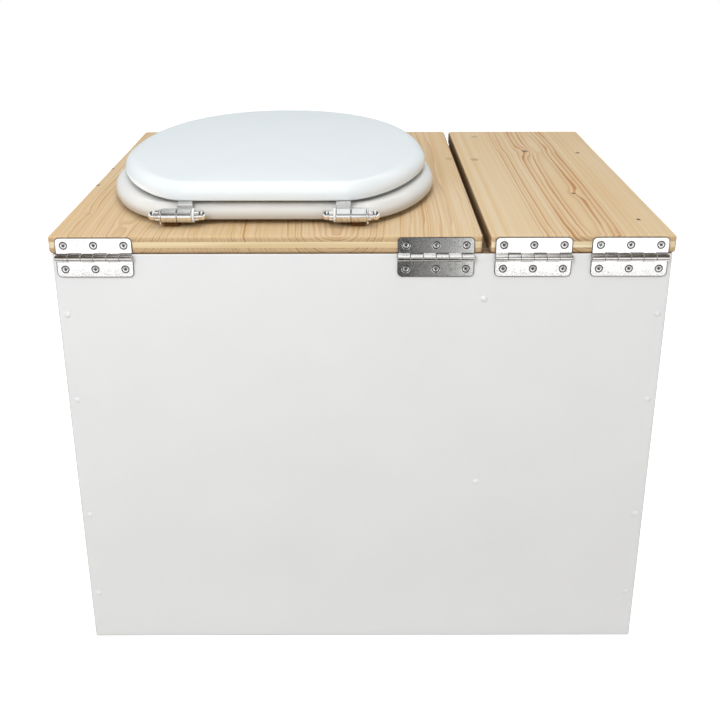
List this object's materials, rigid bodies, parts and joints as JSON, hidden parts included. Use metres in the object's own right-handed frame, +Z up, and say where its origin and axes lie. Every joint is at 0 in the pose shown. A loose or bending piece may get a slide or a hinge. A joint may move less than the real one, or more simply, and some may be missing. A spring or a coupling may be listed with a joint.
{
  "type": "composting toilet",
  "caption": "Free-standing composting toilet: a painted box with a hinged seat board, a hinged litter lid, a seat and lid on chrome hinges, and a bucket with a bail inside.",
  "frame": {"origin": "on the floor, under the middle of the whole object's bounding box", "axes": "+Z up; the user sits facing -Y, and the four butt hinges are on the rear face at +Y; +X runs from the litter bay towards the seat"},
  "size_m": [0.651, 0.5674, 0.5449],
  "materials": {
    "white_paint": "satin white paint on a wood panel",
    "painted_screw": "satin white paint",
    "batten_pine": "planed, bare",
    "oiled_spruce": "oiled, satin, with a long grain and small knots",
    "hinge_zinc": "bright zinc plating",
    "screw_zinc": "bright zinc plating",
    "stainless": "satin stainless",
    "chrome": "polished chrome plating",
    "white_lacquer": "white gloss lacquer on moulded wood",
    "nylon": "matt white nylon",
    "bumper_rubber": "matt grey rubber",
    "grip_black": "matt black plastic"
  },
  "bodies": {
    "box": {"rear_panel": "white_paint", "front_panel": "white_paint", "seat_side_panel": "white_paint", "litter_side_panel": "white_paint", "partition_panel": "white_paint", "litter_floor": "white_paint", "litter_battens": "batten_pine", "rear_panel_screws": "painted_screw", "front_panel_screws": "painted_screw", "batten_screws": "screw_zinc", "hinge_1_box_leaf": "hinge_zinc", "hinge_2_box_leaf": "hinge_zinc", "hinge_3_box_leaf": "hinge_zinc", "hinge_4_box_leaf": "hinge_zinc", "hinge_1_pin": "hinge_zinc", "hinge_2_pin": "hinge_zinc", "hinge_3_pin": "hinge_zinc", "hinge_4_pin": "hinge_zinc", "box_leaf_screws": "screw_zinc", "bucket": "stainless", "bucket_ears": "stainless"},
    "seat_board": {"seat_board": "oiled_spruce", "hinge_1_lid_leaf": "hinge_zinc", "hinge_2_lid_leaf": "hinge_zinc", "seat_board_leaf_screws": "screw_zinc", "splash_guard": "stainless", "splash_guard_screws": "screw_zinc", "seat_post_1": "chrome", "seat_post_2": "chrome", "post_washers": "screw_zinc", "post_nuts": "screw_zinc"},
    "seat_ring": {"seat_ring": "white_lacquer", "ring_bumpers": "bumper_rubber", "ring_strap_1": "chrome", "ring_strap_2": "chrome", "ring_strap_screws": "screw_zinc", "seat_axle_1": "chrome", "seat_axle_2": "chrome", "axle_washers": "nylon", "dome_nuts": "chrome"},
    "lid": {"lid": "white_lacquer", "lid_strap_1": "chrome", "lid_strap_2": "chrome", "lid_strap_screws": "screw_zinc", "lid_bumpers": "bumper_rubber"},
    "litter_lid": {"litter_lid": "oiled_spruce", "hinge_3_lid_leaf": "hinge_zinc", "hinge_4_lid_leaf": "hinge_zinc", "litter_lid_leaf_screws": "screw_zinc"},
    "bail": {"bail_wire": "stainless", "bail_grip": "grip_black"}
  },
  "joints": [
    {"name": "seat_board_hinge", "type": "hinge", "parent": "box", "child": "seat_board", "pos_m": [0.1001, 0.28015, 0.4775], "axis": [-1, 0, 0], "range_deg": [0, 100]},
    {"name": "litter_lid_hinge", "type": "hinge", "parent": "box", "child": "litter_lid", "pos_m": [-0.2285, 0.28015, 0.4775], "axis": [-1, 0, 0], "range_deg": [0, 100]},
    {"name": "seat_ring_hinge", "type": "hinge", "parent": "seat_board", "child": "seat_ring", "pos_m": [0.1037, 0.24095, 0.5125], "axis": [-1, 0, 0], "range_deg": [0, 120]},
    {"name": "lid_hinge", "type": "hinge", "parent": "seat_ring", "child": "lid", "pos_m": [0.1037, 0.24095, 0.5125], "axis": [1, 0, 0], "range_deg": [-120, 0]},
    {"name": "bail_swing", "type": "hinge", "parent": "box", "child": "bail", "pos_m": [0.1037, -0.0037, 0.365], "axis": [-1, 0, 0], "range_deg": [0, 65]}
  ]
}
